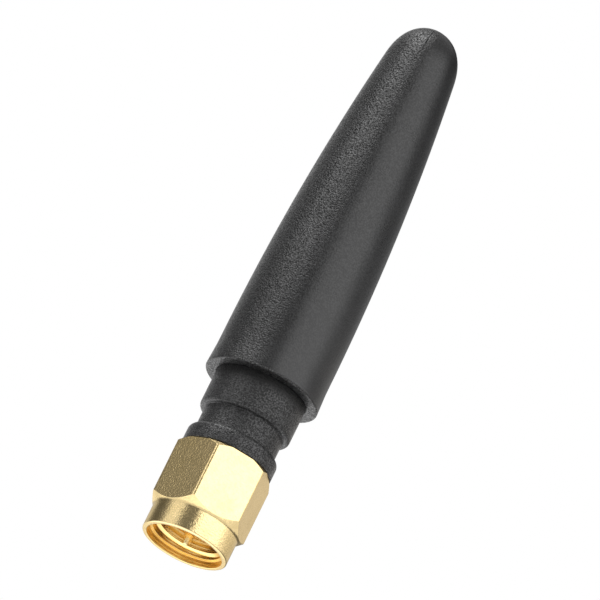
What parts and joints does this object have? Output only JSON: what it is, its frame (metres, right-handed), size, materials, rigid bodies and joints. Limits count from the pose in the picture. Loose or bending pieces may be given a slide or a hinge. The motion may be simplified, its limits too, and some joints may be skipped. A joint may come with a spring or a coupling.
{
  "type": "wifi antenna",
  "caption": "Short wifi antenna with a tapered moulded sleeve, a stepped neck and a threaded coaxial plug with a hexagon coupling nut.",
  "frame": {"origin": "middle of the coupling nut's open mouth, on the plane of its rim, which is the foot the antenna stands on", "axes": "+Z along the antenna from the plug's mouth to the sleeve's rounded tip; two corners of the nut's hexagon lie on the X axis"},
  "size_m": [0.0104, 0.0104, 0.0518],
  "materials": {
    "sleeve_plastic": "fine matt grain",
    "neck_plastic": "matt",
    "gilt_brass": "bright gilt plating",
    "spring_bronze": "plain",
    "white_plastic": "smooth",
    "plain_brass": "drawn wire"
  },
  "bodies": {
    "antenna": {"sleeve": "sleeve_plastic", "neck": "neck_plastic", "connector_body": "gilt_brass", "insulator": "white_plastic", "centre_pin": "gilt_brass", "feed_stud": "plain_brass", "radiator_coil": "plain_brass"},
    "ring": {"retaining_ring": "spring_bronze"},
    "nut": {"coupling_nut": "gilt_brass"}
  },
  "joints": [
    {"name": "nut_slide", "type": "slide", "parent": "antenna", "child": "ring", "axis": [0, 0, 1], "range_m": [-0.0006, 0]},
    {"name": "nut_spin", "type": "hinge", "parent": "ring", "child": "nut", "pos_m": [0, 0, 0.0043], "axis": [0, 0, 1], "continuous": true}
  ]
}
